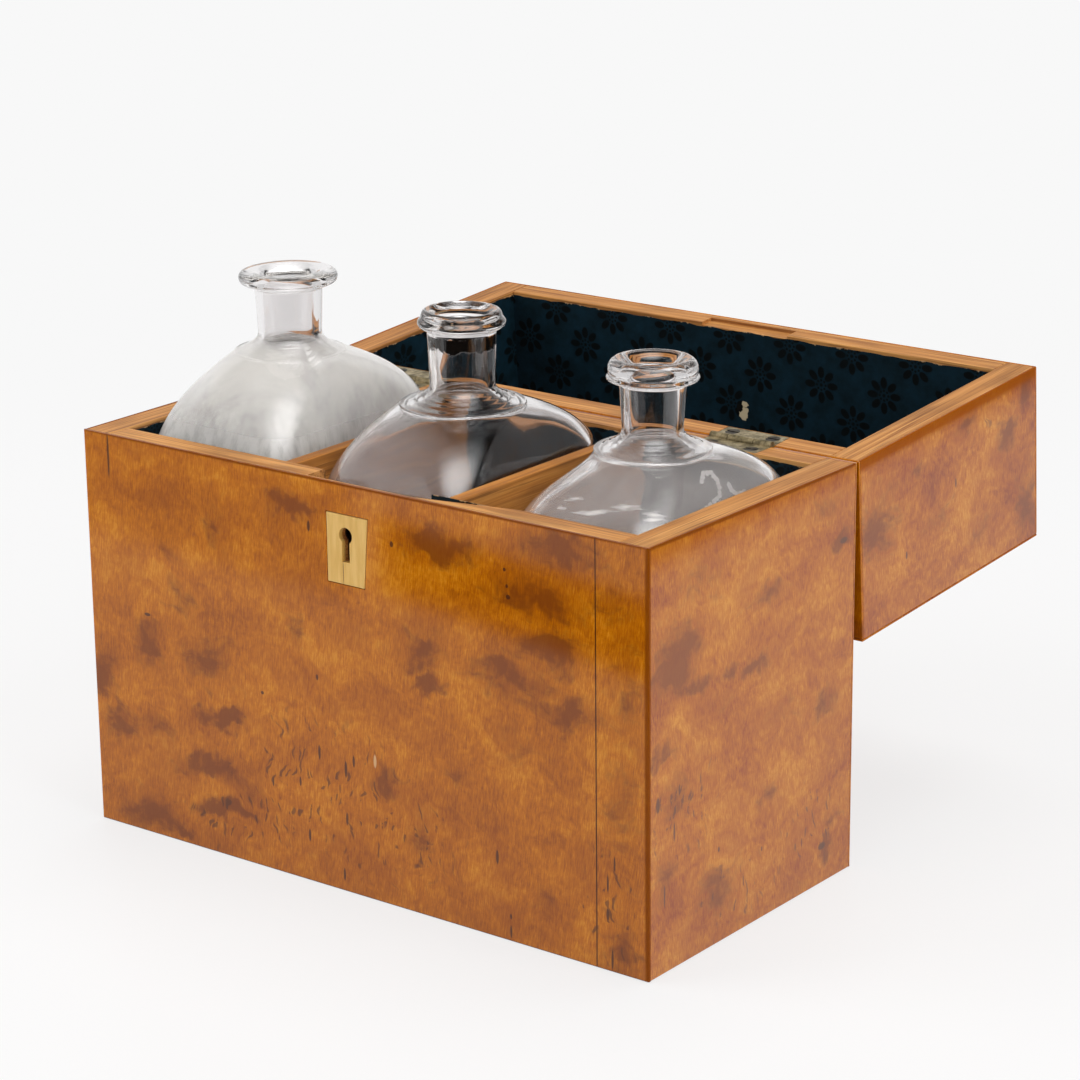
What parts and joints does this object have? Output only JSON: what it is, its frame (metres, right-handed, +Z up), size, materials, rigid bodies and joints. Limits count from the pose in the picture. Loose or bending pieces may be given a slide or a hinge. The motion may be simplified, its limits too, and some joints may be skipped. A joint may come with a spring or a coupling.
{
  "type": "liquor box",
  "caption": "Veneered wooden liquor box with an open hinged lid, divided bays holding square blown-glass bottles, a bone key plate and patterned paper lining.",
  "frame": {"origin": "middle of the case's underside, where the box stands", "axes": "+Z up, +X to the right seen from the front, +Y from the front with the key plate to the back with the hinges"},
  "size_m": [0.27, 0.272, 0.2206],
  "materials": {
    "birch_veneer": "curly birch veneer, shellac polish, aged",
    "softwood": "aged pine carcass, bare and stained",
    "lining_paper": "printed wallpaper, dark blue with black flowers",
    "iron": "wrought iron, dull and rusted",
    "brass": "cast brass, tarnished",
    "bone": "yellowed bone, polished",
    "glass": "clear blown glass with haze and residue inside"
  },
  "bodies": {
    "case": {"base_board": "softwood", "left_wall": "softwood", "right_wall": "softwood", "front_wall": "softwood", "back_wall": "softwood", "front_veneer": "birch_veneer", "front_veneer_strip": "birch_veneer", "back_veneer": "birch_veneer", "left_veneer": "birch_veneer", "right_veneer": "birch_veneer", "lining_front": "lining_paper", "lining_back": "lining_paper", "lining_left": "lining_paper", "lining_right": "lining_paper", "divider_left": "softwood", "divider_right": "softwood", "escutcheon": "bone", "lock_plate": "iron", "lock_case": "iron", "lock_key_post": "iron", "lock_spring": "iron", "lock_screws": "iron", "hinge_left_case_leaf": "brass", "hinge_right_case_leaf": "brass", "hinge_left_pin": "brass", "hinge_right_pin": "brass", "hinge_case_screws": "iron"},
    "lid": {"lid_front_rail": "softwood", "lid_back_rail": "softwood", "lid_left_rail": "softwood", "lid_right_rail": "softwood", "lid_top_panel": "softwood", "lid_front_veneer": "birch_veneer", "lid_back_veneer": "birch_veneer", "lid_left_veneer": "birch_veneer", "lid_right_veneer": "birch_veneer", "lid_top_veneer": "birch_veneer", "lid_lining_front": "lining_paper", "lid_lining_back": "lining_paper", "lid_lining_left": "lining_paper", "lid_lining_right": "lining_paper", "lid_lining_top": "lining_paper", "hinge_left_lid_leaf": "brass", "hinge_right_lid_leaf": "brass", "hinge_lid_screws": "iron"},
    "bolt": {"lock_bolt": "iron"},
    "left_bottle": {"bottle_left": "glass"},
    "middle_bottle": {"bottle_middle": "glass"},
    "right_bottle": {"bottle_right": "glass"}
  },
  "joints": [
    {"name": "lid_hinge", "type": "hinge", "parent": "case", "child": "lid", "pos_m": [0, 0.0671, 0.16215], "axis": [-1, 0, 0], "range_deg": [-176, 0]},
    {"name": "left_bottle_lift", "type": "slide", "parent": "case", "child": "left_bottle", "axis": [0, 0, 1], "range_m": [0, 0.165]},
    {"name": "middle_bottle_lift", "type": "slide", "parent": "case", "child": "middle_bottle", "axis": [0, 0, 1], "range_m": [0, 0.165]},
    {"name": "right_bottle_lift", "type": "slide", "parent": "case", "child": "right_bottle", "axis": [0, 0, 1], "range_m": [0, 0.165]},
    {"name": "bolt_slide", "type": "slide", "parent": "case", "child": "bolt", "axis": [1, 0, 0], "range_m": [0, 0.006]}
  ]
}
